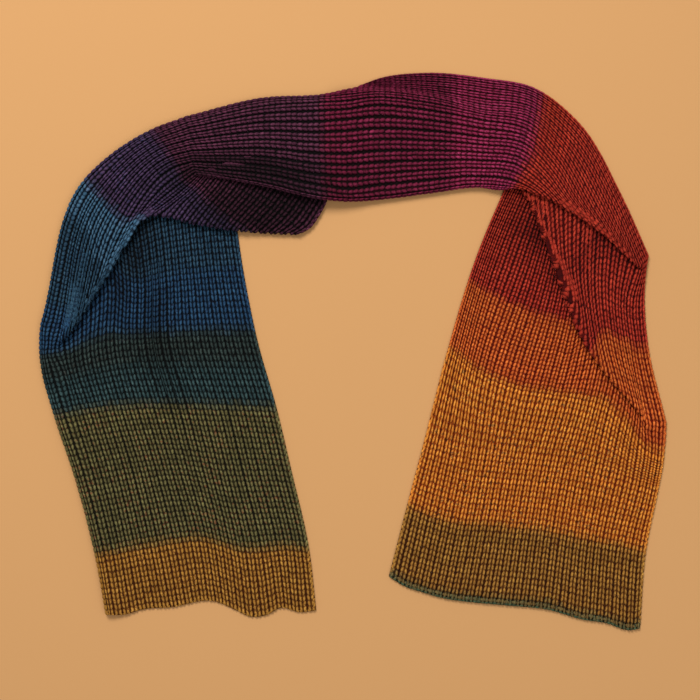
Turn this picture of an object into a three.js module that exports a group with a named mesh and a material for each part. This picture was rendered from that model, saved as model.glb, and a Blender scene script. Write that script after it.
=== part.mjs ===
// A hand-knitted scarf in a one by one rib, laid flat in an arch with tucks at both corners.
// Millimetres, +Z up. The origin is the middle of the footprint, on the surface that the scarf lies on.
// One closed body: the cloth is followed rib by rib from the cast-on edge to the bind-off edge.

import * as THREE from "three";

const KNIT_RIBS = 33;
const HALF_CLOTH = 1.7; // from the middle of the cloth to a rib's crest
const GROOVE_HEIGHT = 0.9; // from the middle of the cloth to the groove between two ribs
const LAYER_PITCH = 4.2; // between the middles of two layers that lie on each other
const BEND_RADIUS = LAYER_PITCH / 2;
const SHORT_EDGE_SHARE = 0.35; // a bend takes at most this share of a short run beside it

// The outer selvedge is turned under along the left half: ribs 0 to HEM_RIBS lie below the scarf.
const HEM_RIBS = 6;
const HEM_FLAT_RIBS = 2.4; // of these, the ones that lie flat under the scarf
const HEM_DEPTH = 9; // from the outline to the hidden selvedge

// The inner half of the cloth is turned under along the band.
const TURN_RIB = 17;
const TURN_HALF_RIBS = 1;

// The layout board: right and down are measured from its top left corner.
const BOARD_ORIGIN = { right: 353.146, down: 351.508 };

// Courses in the order of knitting. A point holds the rib's number, its place on the board and the
// layer that it lies in, counted from the surface. A fold holds the layer before it and after it.
const columns = (names, rows) => rows.map((row) => Object.fromEntries(names.map((n, i) => [n, row[i]])));
const flat = (name, steps, hem, rows) => ({
  name,
  steps,
  hem,
  fold: false,
  points: columns(["rib", "right", "down", "layer"], rows).map((p) => ({ ...p, after: p.layer })),
});
const fold = (name, hem, rows) => ({
  name,
  steps: 1,
  hem,
  fold: true,
  points: columns(["rib", "right", "down", "layer", "after"], rows),
});

// A course of the band is a flat one with its lower edge at TURN_RIB, given in the layer turned under.
const band = (...course) => ({ ...flat(...course), turned: true });

const COURSES = [
  flat("cast-on edge", 1, true, [
    [5, 105, 615, 1],
    [8.3, 125, 615, 0.3],
    [10.6, 143, 610, 0],
    [14, 170, 608, 0],
    [19.8, 214, 602, 0],
    [22.8, 236, 611, 0],
    [24.4, 249, 617, 0],
    [26.8, 268, 615, 0],
    [28.2, 279, 609, 0],
    [31.2, 301, 613, 0],
    [33, 316, 611, 0],
  ]),
  flat("mustard ends", 1, true, [
    [5, 94, 555, 1],
    [8, 112, 552, 0.35],
    [13.8, 156, 544, 0],
    [19.4, 201, 539, 0],
    [25, 245, 550, 0],
    [30.6, 290, 548, 0],
    [33, 309, 550, 0],
  ]),
  flat("olive middle", 1, true, [
    [5, 73, 475, 1],
    [8, 92, 472, 0.35],
    [13, 131, 468, 0],
    [20, 186, 466, 0.1],
    [27, 242, 470, 0],
    [33, 291, 470, 0],
  ]),
  flat("olive ends", 1, true, [
    [5, 53, 415, 1],
    [8, 73, 411, 0.35],
    [11.6, 101, 407, 0],
    [15.8, 134, 404, 0],
    [21.2, 179, 404, 0],
    [26.6, 223, 405, 0],
    [33, 276, 407, 0],
  ]),
  flat("below the first tuck", 1, true, [
    [5, 40, 366, 1],
    [8.3, 61, 362, 0.6],
    [12, 90, 354, 0],
    [15, 114, 348, 0],
    [20, 153, 345, 0],
    [26, 201, 344, 0],
    [33, 258, 344, 0],
  ]),
  flat("beside the first tuck", 1, true, [
    [5, 38.5, 350, 1],
    [8.3, 58, 355, 0.7],
    [9.3, 67, 346, 0.3],
    [11, 81, 316, 0],
    [13, 99, 294, 0],
    [15, 115, 286, 0],
    [18, 137, 281, 0],
    [22, 166, 280, 0],
    [27, 201, 280, 0],
    [33, 245, 282, 0],
  ]),
  fold("first tuck, valley", true, [
    [5, 38.5, 340, 1, 1],
    [7, 48.5, 344, 1, 1],
    [8.3, 57, 347, 0.7, 0.9],
    [9.3, 66, 333, 0.1, 1.0],
    [10, 71, 313, 0, 1],
    [11.5, 79, 276, 0, 1],
    [13, 89, 238, 0, 1],
    [14.6, 99, 210, 0, 1],
    [16, 108, 193, 0, 1],
    [18.5, 125, 174, 0, 1],
    [21.3, 146, 158, 0, 1],
    [27, 187, 139, 0, 1],
    [33, 225, 123, 0, 1],
  ]),
  flat("under the flap", 1, true, [
    [5, 39, 332, 1],
    [7, 49, 338, 1.1],
    [8.3, 58, 344, 1.2],
    [9.3, 64.5, 339, 1.15],
    [10, 69, 328, 1],
    [11.5, 78, 304, 1],
    [13, 87, 280, 1],
    [14.6, 98, 252, 1],
    [16, 113, 224, 1],
    [18.5, 145, 198, 1],
    [21.3, 169, 193, 1],
    [27, 217, 188, 1.05],
    [33, 264, 182, 0.95],
  ]),
  fold("first tuck, ridge", true, [
    [5, 40, 323, 1, 1],
    [7, 50.5, 331, 1.2, 1.2],
    [8.3, 59.5, 341, 1.5, 1.7],
    [9.3, 65, 339, 1.3, 2.2],
    [10, 70, 333, 1, 2.05],
    [11.5, 79, 320, 1, 2],
    [13, 90, 303, 1, 2],
    [14.6, 106, 277, 1, 2],
    [15.4, 119, 254, 1, 2],
    [16.2, 135, 226, 1, 2],
    [17.2, 148, 216.5, 1, 2],
    [18.5, 166, 217, 1, 2],
    [21.3, 190, 223, 1, 2],
    [23.8, 212, 227, 1, 2],
    [27, 239, 231, 0.6, 1.6],
    [30, 268, 233, 0, 1],
    [33, 299, 234, 0, 1],
  ]),
  flat("blue ends", 2, true, [
    [5, 84, 178, 1],
    [7, 93, 189, 1.9],
    [8.5, 99, 196, 2.2],
    [10, 106, 204, 2.4],
    [12, 116, 213, 2.4],
    [14, 129, 220, 2.2],
    [16.2, 151, 210, 2.05],
    [18.5, 176, 206, 2],
    [21.3, 200, 210, 2],
    [27, 252, 217, 1.7],
    [33, 309, 229, 0.7],
  ]),
  flat("purple ends", 2, true, [
    [5, 150, 129, 1],
    [7, 155, 136, 1.8],
    [9, 161, 144, 2.2],
    [12, 171, 157, 2.4],
    [14, 177, 167, 2.3],
    [15.5, 183, 178, 2.1],
    [17, 188, 186, 2],
    [18.5, 197, 187, 2],
    [21.3, 222, 185, 2.1],
    [27, 272, 194, 1.8],
    [33, 321, 213, 0.6],
  ]),
  fold("fold under the band, left", true, [
    [5, 187, 115, 1, 1],
    [7, 189, 123, 1.9, 1.9],
    [10, 191, 140, 2.4, 2.4],
    [13, 193, 157, 2.9, 2.9],
    [15, 194, 168, 3.1, 3.1],
    [16, 196, 173, 2.8, 3],
    [17, 201, 174, 2.1, 2.9],
    [18, 209, 170, 2, 3],
    [21.3, 238, 160, 2, 3],
    [25, 272, 150, 1, 2],
    [29, 306, 143, 0.3, 1.3],
    [33, 342, 140, 0, 1],
  ]),
  band("band over the fold", 2, true, [
    [5, 262, 97, 1],
    [7, 262.5, 107, 2.1],
    [10, 263, 132, 2.6],
    [13, 264, 158, 3.3],
    [15, 264.5, 175.5, 3.9],
    [17, 265, 188, 2.9],
    [19, 268, 177, 2.9],
    [21.3, 275, 163, 2.7],
    [25, 295, 155, 1.8],
    [29, 325, 150, 1.25],
    [33, 356, 147, 1.05],
  ]),
  band("maroon ends", 2, true, [
    [5, 322, 93.5, 1],
    [7, 322, 103, 2],
    [10, 322, 133, 2.5],
    [13, 323, 165, 3],
    [15, 324, 186.5, 3.3],
    [17, 325, 201, 2.2],
    [19, 331, 187, 1.9],
    [21.3, 340, 176, 1.3],
    [25, 352, 165, 0.8],
    [29, 365, 157, 0.5],
    [33, 378, 150, 0.4],
  ]),
  band("hem swings out", 1, false, [
    [0, 347, 93.5, 0],
    [1.5, 347, 91.5, 0.5],
    [3, 347, 90.5, 1.2],
    [4.5, 347, 91.5, 1.9],
    [6, 347, 95.5, 2.4],
    [8, 347, 110, 2.4],
    [11, 347, 143, 2.3],
    [14, 347, 176.5, 2.4],
    [17, 348, 202.5, 1.3],
    [19, 352, 190, 1],
    [21.3, 360, 180, 0.5],
    [25, 370, 168, 0.1],
    [29, 380, 158, 0],
    [33, 392, 150, 0],
  ]),
  band("hem comes out", 2, false, [
    [0, 372, 80, 0],
    [3, 372, 85, 0.1],
    [4.7, 371, 89, 0.7],
    [6, 371, 93, 2.1],
    [7.5, 371, 102, 2.3],
    [10, 371, 129, 1.8],
    [13, 371, 163, 1.5],
    [15, 371, 186, 1.4],
    [17, 372, 201, 0.4],
    [19, 376, 189, 0.1],
    [21.3, 382, 178, 0],
    [25, 392, 166, 0],
    [29, 402, 155, 0],
    [33, 414, 146, 0],
  ]),
  band("band middle", 2, false, [
    [0, 426, 72, 0],
    [3, 427, 85, 0],
    [4.8, 428, 93, 0.5],
    [6, 429, 98, 1.9],
    [7.5, 429, 107, 2.2],
    [10, 429, 131, 1.5],
    [13, 429, 160.5, 1.2],
    [15, 429, 180, 1.1],
    [17, 429, 194, 0.1],
    [19, 432, 182, 0],
    [21.3, 436, 170, 0],
    [25, 442, 155, 0],
    [29, 449, 141, 0],
    [33, 456, 128, 0],
  ]),
  band("band before the right corner", 2, false, [
    [0, 484, 77, 0],
    [3, 483, 92, 0],
    [4.8, 482, 103, 0.4],
    [6, 482, 110, 1.5],
    [7.5, 481, 117, 1.9],
    [10, 480, 137, 1.5],
    [13, 479, 160.5, 1.4],
    [15, 478.5, 176.3, 1.3],
    [17, 478, 188, 0.3],
    [19, 481, 177, 0.3],
    [21.3, 484, 164, 0.3],
    [25, 488, 147, 0.3],
    [29, 492, 130, 0.2],
    [33, 496, 114, 0.2],
  ]),
  band("band meets the right corner", 1, false, [
    [0, 535, 87, 0],
    [2.5, 534, 99, 0.3],
    [5, 532, 113, 1.2],
    [6.5, 530.5, 121, 1.9],
    [9, 527, 138, 2.1],
    [12, 520, 158.5, 2.1],
    [14.5, 511.5, 176, 2.2],
    [17, 505, 190, 1.1],
    [19, 508, 178, 1.1],
    [21.3, 510, 165, 1],
    [25, 512, 148, 0.9],
    [29, 514, 132, 0.8],
    [33, 517, 117, 0.7],
  ]),
  flat("right corner, outside", 2, false, [
    [0, 577, 119, 0],
    [2.5, 571, 130, 0.7],
    [5, 564, 143, 1.5],
    [7, 558, 153, 2.3],
    [9, 551.5, 163, 3],
    [11, 544, 172, 3.6],
    [13, 535.5, 180, 4],
    [15, 525.5, 187, 3.6],
    [16.5, 517, 187.8, 2.2],
    [17.5, 512.5, 184, 1.2],
    [21.3, 512, 166, 1],
    [25, 514, 149, 1],
    [29, 516.5, 133, 1],
    [33, 519, 117.5, 1],
  ]),
  flat("right corner, shoulder", 2, false, [
    [0, 623, 196, 0],
    [2, 617, 203, 0.8],
    [4, 609, 210, 1.8],
    [6, 600, 214.5, 2.9],
    [8, 589, 214.5, 3.8],
    [10, 576, 208.5, 4.4],
    [12, 560, 200, 4.5],
    [14, 543, 193.5, 4.3],
    [15.5, 528, 190.5, 3.7],
    [16.5, 518.5, 188.3, 2.3],
    [17.5, 513, 184, 1.2],
    [21.3, 513, 166.5, 1],
    [25, 515, 149.5, 1],
    [29, 517.5, 133.5, 1],
    [33, 520, 118, 1],
  ]),
  fold("third tuck, ridge", false, [
    [0, 649, 254, 0, 0],
    [1.5, 643.5, 261, 1.3, 1.2],
    [2.5, 641, 267, 1.9, 1.4],
    [3.5, 636, 266, 2, 1],
    [5, 627, 256, 2, 1],
    [7, 616, 245, 2.2, 1.2],
    [9, 603, 234, 2.8, 1.8],
    [11, 586, 222, 3.8, 2.8],
    [13, 563, 208, 4.1, 3.1],
    [14.5, 545, 198.5, 4.1, 3.1],
    [15.5, 533, 193.5, 3.8, 2.9],
    [16.5, 520, 188.5, 2.1, 1.9],
    [17.5, 513.5, 184, 1.15, 1.15],
    [21.3, 514, 167, 1, 1],
    [25, 516, 150, 1, 1],
    [29, 518.5, 134, 1, 1],
    [33, 521, 118.5, 1, 1],
  ]),
  fold("third tuck, valley", false, [
    [0, 646.5, 268, 0, 0],
    [1.5, 643, 271, 1, 0.9],
    [2.5, 640, 268, 1.1, 0.7],
    [3.5, 634, 258, 1, 0.2],
    [5, 623, 240, 1, 0],
    [7, 606, 220, 1.3, 0.3],
    [9, 590, 207, 2.6, 1.6],
    [11, 572, 196, 3.2, 2.2],
    [13, 552, 186.5, 3.2, 2.2],
    [14.5, 538, 183, 3.1, 2.1],
    [15.5, 529.5, 183.5, 2.8, 2.1],
    [16.5, 521, 186.5, 1.9, 1.75],
    [17.5, 514.5, 183.5, 1.15, 1.15],
    [21.3, 515.5, 168, 1, 1],
    [25, 517.5, 151, 1, 1],
    [29, 520, 135, 1, 1],
    [33, 522.5, 119, 1, 1],
  ]),
  flat("second layer, upper", 2, false, [
    [0, 645.5, 300, 0],
    [1.5, 637, 300, 0.1],
    [3.5, 624, 299, 0.6],
    [5, 614.5, 297, 1.5],
    [7, 601, 291, 2.2],
    [9, 587, 283, 2.1],
    [11, 572, 270, 2.1],
    [13, 556.5, 250, 2.1],
    [14.5, 541, 219, 2.1],
    [15.5, 530, 197, 2.05],
    [16.5, 521.5, 187.3, 1.7],
    [17.5, 515.5, 183.5, 1.15],
    [21.3, 517.5, 169, 1],
    [25, 519.5, 152, 1],
    [29, 522, 136, 1],
    [33, 524.5, 119.8, 1],
  ]),
  flat("second layer, lower", 1, false, [
    [0, 649, 345, 0],
    [1.5, 640, 345, 0.1],
    [3.5, 628, 345, 0.6],
    [5, 619, 345, 1.6],
    [7, 607, 344, 2.2],
    [8.5, 597.5, 341, 2.1],
    [10, 587, 333, 2.1],
    [11.5, 574, 311, 2.1],
    [13, 559, 272, 2.1],
    [14.5, 542, 228, 2.1],
    [15.5, 531, 202, 2.05],
    [16.5, 522, 188, 1.65],
    [17.5, 516.5, 183.5, 1.15],
    [21.3, 519.5, 170, 1],
    [25, 521.5, 153, 1],
    [29, 524, 137, 1],
    [33, 526.5, 120.5, 1],
  ]),
  fold("fourth tuck, ridge", false, [
    [0, 667.5, 423, 0, 0],
    [1.5, 656, 423, 0.9, 0.9],
    [3, 645, 424, 1.6, 1.5],
    [4, 640, 414, 2, 1.2],
    [5, 633, 405, 2, 1],
    [6, 626, 397, 2, 1],
    [7, 618, 388, 2, 1],
    [8, 609, 378, 2, 1],
    [9, 599, 366, 2, 1],
    [10, 588, 350, 2, 1],
    [11.5, 572, 318, 2, 1],
    [13, 556.5, 276, 2, 1],
    [14.5, 540, 231, 2, 1],
    [15.5, 530, 205, 1.9, 1.05],
    [16.5, 522.5, 189, 1.6, 1.2],
    [17.5, 518, 184, 1.15, 1.1],
    [21.3, 522, 171.5, 1, 1],
    [25, 524, 154.5, 1, 1],
    [29, 526.5, 138.5, 1, 1],
    [33, 529, 121.5, 1, 1],
  ]),
  fold("fourth tuck, valley, and fold under the band, right", false, [
    [0, 667, 437, 0, 0],
    [1.5, 655.5, 433, 0.5, 0.5],
    [3, 645, 428, 1.2, 0.9],
    [4, 642, 413, 1.1, 0.2],
    [5, 637, 402, 1, 0],
    [6, 632, 392, 1, 0],
    [8, 621, 368, 1, 0],
    [10, 612, 325, 1, 0],
    [13, 603, 276, 1, 0],
    [15, 596, 243, 1, 0],
    [16.5, 590, 220, 1, 0],
    [18.5, 582, 196, 1, 0],
    [21.3, 573, 177, 1, 0],
    [25, 562, 158, 1, 0],
    [29, 549, 140, 1, 0],
    [33, 534, 124, 1, 0],
  ]),
  flat("right leg under the tuck", 1, false, [
    [0, 666, 447, 0],
    [1.5, 656, 446, 0.2],
    [3, 646.5, 442, 0.3],
    [4, 640.5, 430, 0],
    [5.5, 633.5, 416, 0],
    [7, 626, 404, 0],
    [8.5, 617, 394, 0],
    [10.5, 606, 380, 0],
    [12.5, 595, 366, 0],
    [16, 576, 338, 0],
    [20.5, 553, 300, 0],
    [23, 540, 280, 0],
    [26, 523, 261, 0],
    [29, 502, 247, 0],
    [33, 474, 264, 0],
  ]),
  flat("orange ends", 1, false, [
    [0, 664.5, 463, 0],
    [1.5, 655, 460, 0.1],
    [3, 645.5, 455, 0],
    [4.5, 635, 444, 0],
    [7, 621, 425, 0],
    [9, 608, 414, 0],
    [12, 589, 406, 0],
    [17.5, 549, 398, 0],
    [22, 514, 392, 0],
    [26.5, 480, 378, 0],
    [33, 447, 353, 0],
  ]),
  flat("gold middle", 2, false, [
    [0, 660, 487, 0],
    [1.5, 651, 484, 0],
    [3, 641, 481, 0],
    [5.5, 622, 475, 0],
    [8, 603, 470, 0],
    [13, 566, 463, 0],
    [20, 515, 458, 0],
    [27, 465, 452, 0],
    [33, 424.5, 441, 0],
  ]),
  flat("gold ends", 1, false, [
    [0, 647, 551, 0],
    [2.5, 629, 546, 0],
    [5.5, 607, 542, 0],
    [10.3, 573, 535, 0],
    [14, 546, 529, 0],
    [18, 517, 526, 0],
    [21.3, 493, 524, 0],
    [26.2, 457, 522, 0],
    [30.2, 428, 513, 0],
    [33, 407.5, 505, 0],
  ]),
  flat("bind-off edge", 1, false, [
    [0, 641, 629, 0],
    [1.4, 631, 631, 0],
    [4.6, 607, 624, 0],
    [8, 582, 620, 0],
    [12, 551, 611, 0],
    [17.8, 506, 606, 0],
    [22, 473, 603, 0],
    [25.8, 444, 599, 0],
    [28.6, 423, 593, 0],
    [31.2, 403, 586, 0],
    [33, 389, 577, 0],
  ]),
];

// Smooth curve through points that are unevenly spaced along t, with a slope limited where it must not
// overshoot, as for heights.
function slopes(t, y, limited) {
  const secant = t.slice(1).map((v, i) => (y[i + 1] - y[i]) / (v - t[i]));
  return t.map((_, i) => {
    if (i === 0) return secant[0];
    if (i === t.length - 1) return secant[i - 1];
    const before = t[i] - t[i - 1];
    const after = t[i + 1] - t[i];
    const plain = (secant[i - 1] * after + secant[i] * before) / (before + after);
    if (!limited) return plain;
    if (secant[i - 1] * secant[i] <= 0) return 0;
    const most = 3 * Math.min(Math.abs(secant[i - 1]), Math.abs(secant[i]));
    return Math.sign(plain) * Math.min(Math.abs(plain), most);
  });
}

function hermite(y0, y1, m0, m1, width, s) {
  const s2 = s * s;
  const s3 = s2 * s;
  return (
    (2 * s3 - 3 * s2 + 1) * y0 + (s3 - 2 * s2 + s) * width * m0 + (3 * s2 - 2 * s3) * y1 + (s3 - s2) * width * m1
  );
}

function curveThrough(t, y, limited) {
  const slope = slopes(t, y, limited);
  return (at) => {
    let i = 0;
    while (i < t.length - 2 && at > t[i + 1]) i++;
    const width = t[i + 1] - t[i];
    return hermite(y[i], y[i + 1], slope[i], slope[i + 1], width, (at - t[i]) / width);
  };
}

// A point at a distance inside an outline, towards the next point of its course.
const inside = (outline, inner, distance, rib, layer) => {
  const run = Math.hypot(inner.right - outline.right, inner.down - outline.down);
  return {
    rib,
    right: outline.right + ((inner.right - outline.right) * distance) / run,
    down: outline.down + ((inner.down - outline.down) * distance) / run,
    layer,
    after: layer,
  };
};

// The round where the cloth turns under along an outline: five points from one layer to the next.
function roundOutline(outline, inner, firstRib, lastRib, firstLayer, lastLayer) {
  return [0, 0.25, 0.5, 0.75, 1].map((turn) => {
    const distance = HALF_CLOTH + BEND_RADIUS * (1 - Math.sin(Math.PI * turn));
    const share = (1 - Math.cos(Math.PI * turn)) / 2;
    const rib = firstRib + (lastRib - firstRib) * turn;
    return inside(outline, inner, distance, rib, firstLayer + (lastLayer - firstLayer) * share);
  });
}

// The turned-under selvedge: from the hidden edge flat below the scarf, round the outline and on top.
function hemPoints(points) {
  const [outline, next] = points;
  const round = roundOutline(outline, next, HEM_FLAT_RIBS, HEM_RIBS, 0, 1);
  return [inside(outline, next, HEM_DEPTH, 0, 0), ...round, ...points.slice(1)];
}

// The band's lower edge, where the inner half of the cloth turns under.
function turnPoints(points) {
  const at = points.findIndex((p) => p.rib === TURN_RIB);
  const edge = points[at];
  const ribs = [TURN_RIB - TURN_HALF_RIBS, TURN_RIB + TURN_HALF_RIBS];
  const round = roundOutline(edge, points[at - 1], ...ribs, edge.layer + 1, edge.layer);
  return [...points.slice(0, at), ...round, ...points.slice(at + 1)];
}

// One course as functions of the rib number.
function courseCurves(course) {
  let { points } = course;
  if (course.turned) points = turnPoints(points);
  if (course.hem) points = hemPoints(points);
  const rib = points.map((p) => p.rib);
  const height = (layer) => HALF_CLOTH + LAYER_PITCH * layer;
  return {
    right: curveThrough(rib, points.map((p) => p.right), false),
    down: curveThrough(rib, points.map((p) => p.down), false),
    before: curveThrough(rib, points.map((p) => height(p.layer)), true),
    after: curveThrough(rib, points.map((p) => height(p.after)), true),
  };
}

const towards = (from, to, distance) =>
  to.clone().sub(from).setLength(Math.min(distance, SHORT_EDGE_SHARE * from.distanceTo(to))).add(from);

// The middle of the cloth along one rib, as a list of points from the cast-on to the bind-off edge.
function followRib(rib, curves) {
  const corners = COURSES.map((course, i) => {
    const x = curves[i].right(rib) - BOARD_ORIGIN.right;
    const y = BOARD_ORIGIN.down - curves[i].down(rib);
    return {
      before: new THREE.Vector3(x, y, curves[i].before(rib)),
      after: new THREE.Vector3(x, y, course.fold ? curves[i].after(rib) : curves[i].before(rib)),
    };
  });
  const stations = [];
  COURSES.forEach((course, i) => {
    const { before, after } = corners[i];
    if (!course.fold) {
      stations.push({ point: before, steps: course.steps });
      return;
    }
    stations.push({ point: towards(before, corners[i - 1].after, BEND_RADIUS), steps: course.steps });
    stations.push({ point: before.clone().add(after).multiplyScalar(0.5), bend: true });
    stations.push({ point: towards(after, corners[i + 1].before, BEND_RADIUS), bend: true });
  });
  return smoothRuns(stations);
}

// Smooths each run between two bends and gives it the course's number of steps.
function smoothRuns(stations) {
  const made = [stations[0].point];
  let start = 0;
  for (let i = 1; i < stations.length; i++) {
    if (stations[i].bend) {
      made.push(stations[i].point);
      start = i;
      continue;
    }
    let end = i;
    while (end + 1 < stations.length && !stations[end + 1].bend) end++;
    const run = stations.slice(start, end + 1);
    const at = [0];
    for (let k = 1; k < run.length; k++) at.push(at[k - 1] + run[k].point.distanceTo(run[k - 1].point));
    const axes = ["x", "y", "z"].map((axis) => curveThrough(at, run.map((r) => r.point[axis]), axis === "z"));
    for (let k = 1; k < run.length; k++) {
      for (let step = 1; step <= run[k].steps; step++) {
        const place = at[k - 1] + ((at[k] - at[k - 1]) * step) / run[k].steps;
        made.push(new THREE.Vector3(...axes.map((axis) => axis(place))));
      }
    }
    i = end;
    start = end;
  }
  return made;
}

// The cloth's middle as a grid: ribs across, half a rib apart, and stations along.
function clothMiddle() {
  const curves = COURSES.map(courseCurves);
  const grid = [];
  for (let k = 0; k <= 2 * KNIT_RIBS; k++) grid.push(followRib(k / 2, curves));
  return grid;
}

// The upward direction of the cloth's right side at each grid point.
function faceDirections(grid) {
  const along = (list, i) => {
    const before = list(Math.max(i - 1, 0));
    const here = list(i);
    const after = list(i + 1);
    const sum = new THREE.Vector3();
    if (before && before !== here) sum.add(here.clone().sub(before).normalize());
    if (after) sum.add(after.clone().sub(here).normalize());
    return sum.normalize();
  };
  return grid.map((rib, k) =>
    rib.map((_, i) => {
      const lengthwise = along((j) => rib[j], i);
      const across = along((j) => (grid[j] ? grid[j][i] : undefined), k);
      return across.cross(lengthwise).normalize();
    }),
  );
}

// The closed body between the ribbed right side and the plainer wrong side, flat on the surface.
function scarfGeometry() {
  const grid = clothMiddle();
  const facing = faceDirections(grid);
  const lengthwise = grid[0].length;
  const positions = [];
  const triangles = [];
  const put = (point) => positions.push(point.x, point.y, Math.max(point.z, 0)) / 3 - 1;
  const right = grid.map((rib, k) =>
    rib.map((point, i) => put(point.clone().addScaledVector(facing[k][i], k % 2 ? HALF_CLOTH : GROOVE_HEIGHT))),
  );
  const wrongRibs = [];
  for (let k = 0; k <= 2 * KNIT_RIBS; k += 2) wrongRibs.push(k);
  const wrong = wrongRibs.map((k) =>
    grid[k].map((point, i) => put(point.clone().addScaledVector(facing[k][i], -HALF_CLOTH))),
  );
  const quad = (a, b, c, d) => triangles.push(a, b, c, a, c, d);
  for (let i = 0; i + 1 < lengthwise; i++) {
    for (let k = 0; k + 1 < right.length; k++) {
      quad(right[k][i], right[k + 1][i], right[k + 1][i + 1], right[k][i + 1]);
    }
    for (let k = 0; k + 1 < wrong.length; k++) {
      quad(wrong[k][i], wrong[k][i + 1], wrong[k + 1][i + 1], wrong[k + 1][i]);
    }
    const last = wrong.length - 1;
    quad(right[0][i], right[0][i + 1], wrong[0][i + 1], wrong[0][i]);
    quad(right[2 * last][i], wrong[last][i], wrong[last][i + 1], right[2 * last][i + 1]);
  }
  for (const [i, turned] of [
    [0, false],
    [lengthwise - 1, true],
  ]) {
    for (let k = 0; k + 1 < wrong.length; k++) {
      const fan = [wrong[k][i], wrong[k + 1][i], right[2 * k + 2][i], right[2 * k + 1][i], right[2 * k][i]];
      if (turned) fan.reverse();
      for (let j = 1; j + 1 < fan.length; j++) triangles.push(fan[0], fan[j], fan[j + 1]);
    }
  }
  const geometry = new THREE.BufferGeometry();
  geometry.setAttribute("position", new THREE.Float32BufferAttribute(positions, 3));
  geometry.setIndex(triangles);
  geometry.computeVertexNormals();
  return geometry;
}

const woolMaterial = new THREE.MeshStandardMaterial({ color: 0x7a3a2c, roughness: 0.95, metalness: 0 });
const scarf = new THREE.Mesh(scarfGeometry(), woolMaterial);
scarf.name = "scarf";

const part = new THREE.Group();
part.add(scarf);

export default part;
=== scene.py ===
# A hand-knitted scarf in a one by one rib of striped yarn, laid in an arch.
# The cloth follows the same courses as its solid, and each knit stitch is made of two yarn legs.

import math

import bpy
import numpy as np
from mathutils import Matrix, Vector


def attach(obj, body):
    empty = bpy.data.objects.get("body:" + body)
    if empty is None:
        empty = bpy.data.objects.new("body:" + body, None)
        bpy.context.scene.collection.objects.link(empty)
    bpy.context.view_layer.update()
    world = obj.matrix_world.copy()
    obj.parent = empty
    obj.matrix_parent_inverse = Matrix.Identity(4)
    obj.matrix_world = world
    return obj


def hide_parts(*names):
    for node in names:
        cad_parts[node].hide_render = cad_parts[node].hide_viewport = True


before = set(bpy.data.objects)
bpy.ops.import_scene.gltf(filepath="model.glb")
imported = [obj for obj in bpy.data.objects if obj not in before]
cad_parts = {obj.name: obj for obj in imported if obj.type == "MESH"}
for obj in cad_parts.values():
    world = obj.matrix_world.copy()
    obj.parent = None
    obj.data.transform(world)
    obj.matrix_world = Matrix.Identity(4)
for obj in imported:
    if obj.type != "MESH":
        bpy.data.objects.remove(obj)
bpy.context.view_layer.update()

MM = 0.001

# The cloth, in millimetres
KNIT_RIBS = 33
HALF_CLOTH = 1.7
LAYER_PITCH = 4.2
BEND_RADIUS = LAYER_PITCH / 2
SHORT_EDGE_SHARE = 0.35
HEM_RIBS = 6
HEM_FLAT_RIBS = 2.4
HEM_DEPTH = 9
TURN_RIB = 17
TURN_HALF_RIBS = 1
BOARD_ORIGIN = (353.146, 351.508)

STEP = 4.0
BEND_STEPS = 8
PARTS_OF_A_RIB = 4
ROW_HEIGHT = 5.5

# The base cloth below the stitches, from the cloth's middle
BASE_CREST = 0.2
BASE_GROOVE = -0.3
BASE_WRONG_SIDE = 1.5
BASE_WRONG_CREST = 1.1

# The height above which cloth lies on other cloth, and how thin its wrong side is there
LIFTED = 3
LIFTED_THIN = 0.4

# Rows of knitting: the ribs that they are counted on, and the courses between which each rib has as many
ROW_SAMPLE = 0.1
COUNTED_RIBS = (5, 16)
CORNER_MARKS = ("blue ends", "purple ends", "band over the fold")
CORNER_RIBS = (15, 18.5)
ROW_MARKS = (
    "mustard ends",
    "olive ends",
    "below the first tuck",
    "maroon ends",
    "hem comes out",
    "band middle",
    "band before the right corner",
    "band meets the right corner",
    "orange ends",
    "gold middle",
    "gold ends",
)


def flat(name, hem, rows):
    """A course that lies flat: rib, place to the right, place down, layer."""
    rows = [(*row, row[3]) for row in rows]
    return {"name": name, "hem": hem, "fold": False, "turned": False, "rows": rows}


def band(name, hem, rows):
    """A flat course of the band, whose lower edge is at TURN_RIB, given in the layer turned under."""
    return {**flat(name, hem, rows), "turned": True}


def fold(name, hem, rows):
    """A fold: rib, place to the right, place down, layer before it, layer after it."""
    return {"name": name, "hem": hem, "fold": True, "turned": False, "rows": rows}


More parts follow.
